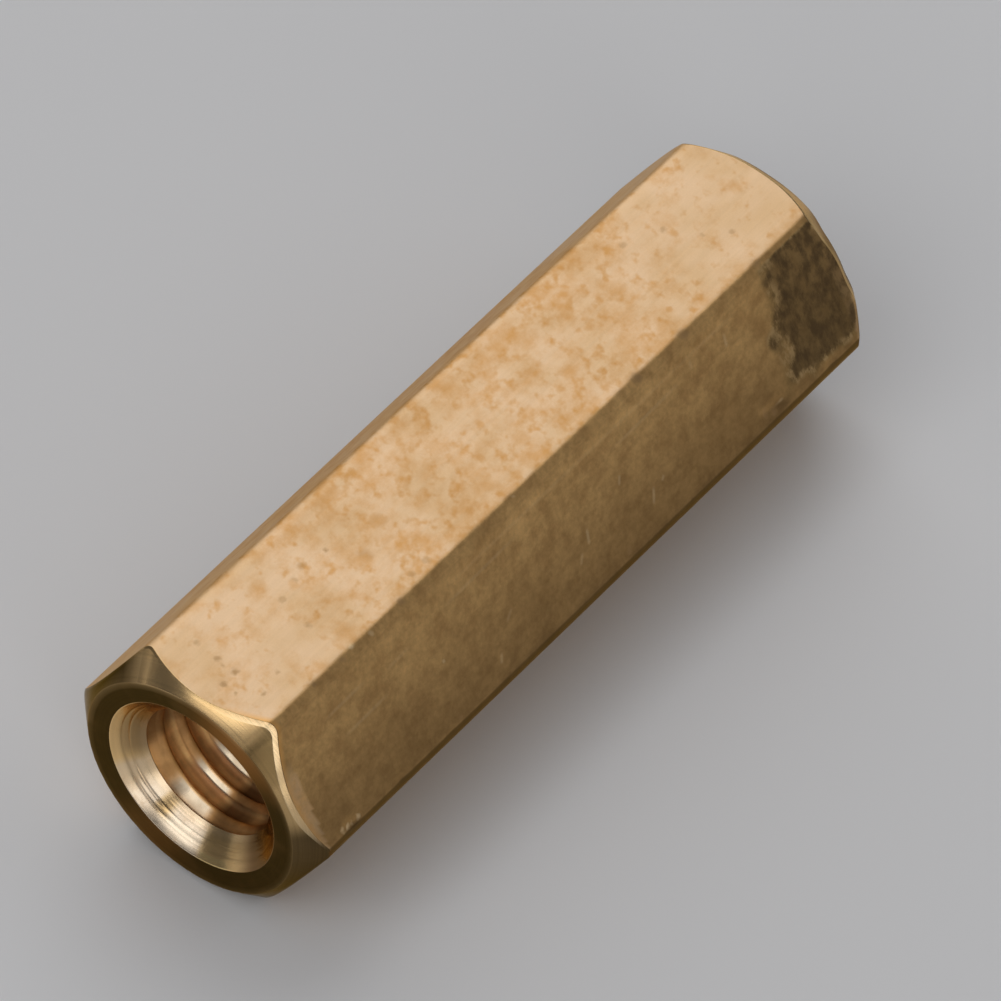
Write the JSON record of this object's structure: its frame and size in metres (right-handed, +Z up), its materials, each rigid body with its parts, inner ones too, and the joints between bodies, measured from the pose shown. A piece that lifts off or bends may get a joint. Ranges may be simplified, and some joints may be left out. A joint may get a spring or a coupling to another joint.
{
  "type": "hex standoff",
  "caption": "Hexagonal brass spacer with a tapped hole from end to end, countersunk mouths and chamfered ends, lying on a flat.",
  "frame": {"origin": "middle of the flat that the standoff lies on", "axes": "+X along the bore, +Z up and square to the flat, +Y across the flat, towards one of the two edges at mid height; both ends are alike"},
  "size_m": [0.015, 0.0052, 0.0045],
  "materials": {
    "brass": "drawn bar, satin, lightly tarnished"
  },
  "bodies": {
    "root": {"standoff_body": "brass"}
  },
  "joints": []
}
